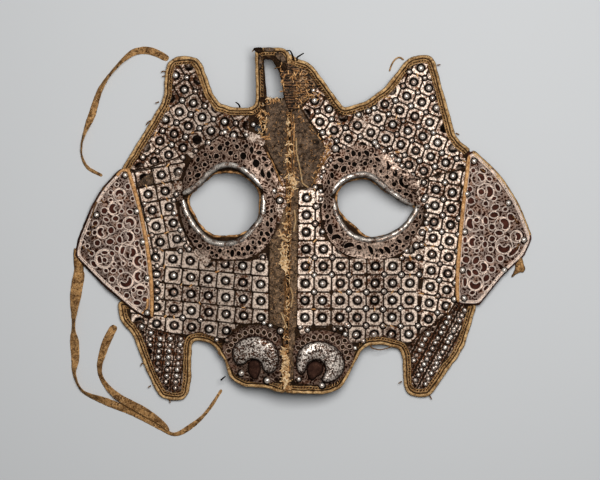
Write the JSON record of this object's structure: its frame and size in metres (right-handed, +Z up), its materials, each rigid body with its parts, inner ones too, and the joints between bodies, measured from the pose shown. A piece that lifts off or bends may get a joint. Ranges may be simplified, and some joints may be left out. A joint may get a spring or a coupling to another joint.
{
  "type": "horse head armour",
  "caption": "Horse's face armour in two joined halves: leather paved with iron plates and studs, with eye guards, nostril bosses, cheek flaps and tie straps, lying face up.",
  "frame": {"origin": "bottom centre of the object's box as it lies face up on its open back", "axes": "+X towards the right as seen from above, which is the horse's own left side; +Y from the nose towards the poll between the ears; +Z up, out of the face. In node names left and right are as seen from above."},
  "size_m": [0.6921, 0.5855, 0.0572],
  "materials": {
    "shell_leather": "old brown leather, matt and scuffed",
    "dark_leather": "dark worn leather",
    "binding_leather": "tan folded leather, rubbed at the edges",
    "coarse_cloth": "coarse frayed textile",
    "strap_leather": "dry brown strap leather",
    "paving_iron": "iron with a brown patina, silvery where rubbed",
    "guard_iron": "pierced iron with a dark brown patina",
    "bright_iron": "rubbed bright iron, pitted"
  },
  "bodies": {
    "root": {"backing_left": "shell_leather", "backing_right": "shell_leather", "binding_ear_left": "binding_leather", "binding_ear_right": "binding_leather", "binding_jaw_left": "binding_leather", "binding_jaw_right": "binding_leather", "centre_band_left": "dark_leather", "centre_band_right": "dark_leather", "eye_guard_left": "guard_iron", "eye_guard_right": "guard_iron", "eye_rim_brow_left": "bright_iron", "eye_rim_brow_right": "bright_iron", "eye_rim_lid_left": "bright_iron", "eye_rim_lid_right": "bright_iron", "flap_leather_left": "shell_leather", "flap_leather_right": "shell_leather", "flap_piping_left": "binding_leather", "flap_piping_right": "binding_leather", "flap_rivet_left_1": "bright_iron", "flap_rivet_left_2": "bright_iron", "flap_rivet_left_3": "bright_iron", "flap_rivet_left_4": "bright_iron", "flap_rivet_left_5": "bright_iron", "flap_rivet_left_6": "bright_iron", "flap_rivet_right_1": "bright_iron", "flap_rivet_right_2": "bright_iron", "flap_rivet_right_3": "bright_iron", "flap_rivet_right_4": "bright_iron", "flap_rivet_right_5": "bright_iron", "flap_rivet_right_6": "bright_iron", "flap_rivet_right_7": "bright_iron", "flap_rivet_right_8": "bright_iron", "flap_scroll_left": "guard_iron", "flap_scroll_right": "guard_iron", "forehead_panel_left": "dark_leather", "forehead_panel_right": "dark_leather", "nostril_boss_left": "bright_iron", "nostril_boss_right": "bright_iron", "nostril_pad_left": "dark_leather", "nostril_pad_right": "dark_leather", "nostril_plate_left": "guard_iron", "nostril_plate_right": "guard_iron", "plates_cheek_left": "paving_iron", "plates_cheek_right": "paving_iron", "plates_temple_left": "paving_iron", "plates_temple_right": "paving_iron", "poll_pad": "coarse_cloth", "studs_jaw_left": "paving_iron", "studs_jaw_right": "paving_iron", "thong_ear_right": "strap_leather", "tie_ear_left": "strap_leather", "tie_flap_left": "strap_leather", "tie_jaw_left": "strap_leather", "tie_stub_right": "strap_leather"}
  },
  "joints": []
}
